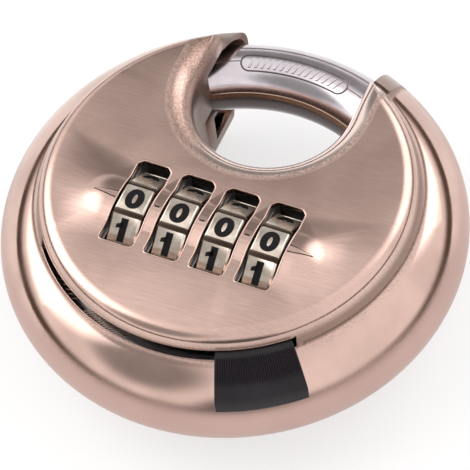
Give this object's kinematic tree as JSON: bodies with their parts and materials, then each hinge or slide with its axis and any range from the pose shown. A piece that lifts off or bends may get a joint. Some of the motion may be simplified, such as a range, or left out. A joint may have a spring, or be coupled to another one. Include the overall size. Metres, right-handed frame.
{
  "type": "combination padlock",
  "caption": "Round disc padlock with number dials in a raised face, a ribbed slider and a C-shaped shackle that turns inside the rim across a U-shaped notch.",
  "frame": {"origin": "on the disc's axis, at the flat back face", "axes": "+Z out through the dials' face, +Y from the disc's centre to the shackle's notch, +X along the row of dials towards the slider's closed end"},
  "size_m": [0.07, 0.0682, 0.0264],
  "materials": {
    "body_steel": "warm brushed stainless steel, polished on the shoulder and rim",
    "shackle_steel": "bright plated hardened steel",
    "slider_plastic": "black moulded plastic, ribbed",
    "inner_steel": "zinc-plated pressed steel",
    "screw_steel": "plain turned steel",
    "cast_zinc": "as-cast zinc alloy, matt grey",
    "dial_metal": "satin nickel-plated brass with black numerals",
    "hub_brass": "turned brass",
    "spring_steel": "drawn spring wire and strip",
    "button_brass": "turned brass, satin"
  },
  "bodies": {
    "case": {"front_shell": "body_steel", "back_shell": "body_steel", "lock_frame": "cast_zinc", "frame_cover": "cast_zinc", "cover_screws": "screw_steel", "dial_spacers": "hub_brass", "detent_spring": "spring_steel", "detent_rivets": "hub_brass", "latch_spring": "spring_steel", "reset_spring": "spring_steel"},
    "shackle_ring": {"shackle": "shackle_steel", "shackle_knob": "slider_plastic", "knob_carrier": "inner_steel", "knob_screws": "screw_steel"},
    "dial_wheel_1": {"dial_1": "dial_metal", "hub_1": "hub_brass"},
    "dial_wheel_2": {"dial_2": "dial_metal", "hub_2": "hub_brass"},
    "dial_wheel_3": {"dial_3": "dial_metal", "hub_3": "hub_brass"},
    "dial_wheel_4": {"dial_4": "dial_metal", "hub_4": "hub_brass"},
    "latch": {"latch_bolt": "inner_steel", "spindle": "inner_steel", "spindle_clip": "inner_steel"},
    "button": {"reset_button": "button_brass"}
  },
  "joints": [
    {"name": "shackle_turn", "type": "hinge", "parent": "case", "child": "shackle_ring", "pos_m": [0, 0, 0.0127], "axis": [0, 0, 1], "range_deg": [-70, 0], "deforming": ["latch_spring"]},
    {"name": "dial_1_turn", "type": "hinge", "parent": "case", "child": "dial_wheel_1", "pos_m": [-0.01064, -0.00855, 0.0184], "axis": [1, 0, 0], "continuous": true, "deforming": ["detent_spring"]},
    {"name": "dial_2_turn", "type": "hinge", "parent": "case", "child": "dial_wheel_2", "pos_m": [-0.00355, -0.00855, 0.0184], "axis": [1, 0, 0], "continuous": true},
    {"name": "dial_3_turn", "type": "hinge", "parent": "case", "child": "dial_wheel_3", "pos_m": [0.00355, -0.00855, 0.0184], "axis": [1, 0, 0], "continuous": true},
    {"name": "dial_4_turn", "type": "hinge", "parent": "case", "child": "dial_wheel_4", "pos_m": [0.01064, -0.00855, 0.0184], "axis": [1, 0, 0], "continuous": true},
    {"name": "latch_slide", "type": "slide", "parent": "case", "child": "latch", "axis": [1, 0, 0], "range_m": [-0.0025, 0]},
    {"name": "reset_press", "type": "slide", "parent": "case", "child": "button", "axis": [0, 0, 1], "range_m": [0, 0.0015], "stiffness_N_per_m": 300, "deforming": ["reset_spring"]}
  ],
  "couplings": [
    {"joint": "latch_slide", "follows": "shackle_turn", "m_per_rad": 0.002046}
  ]
}
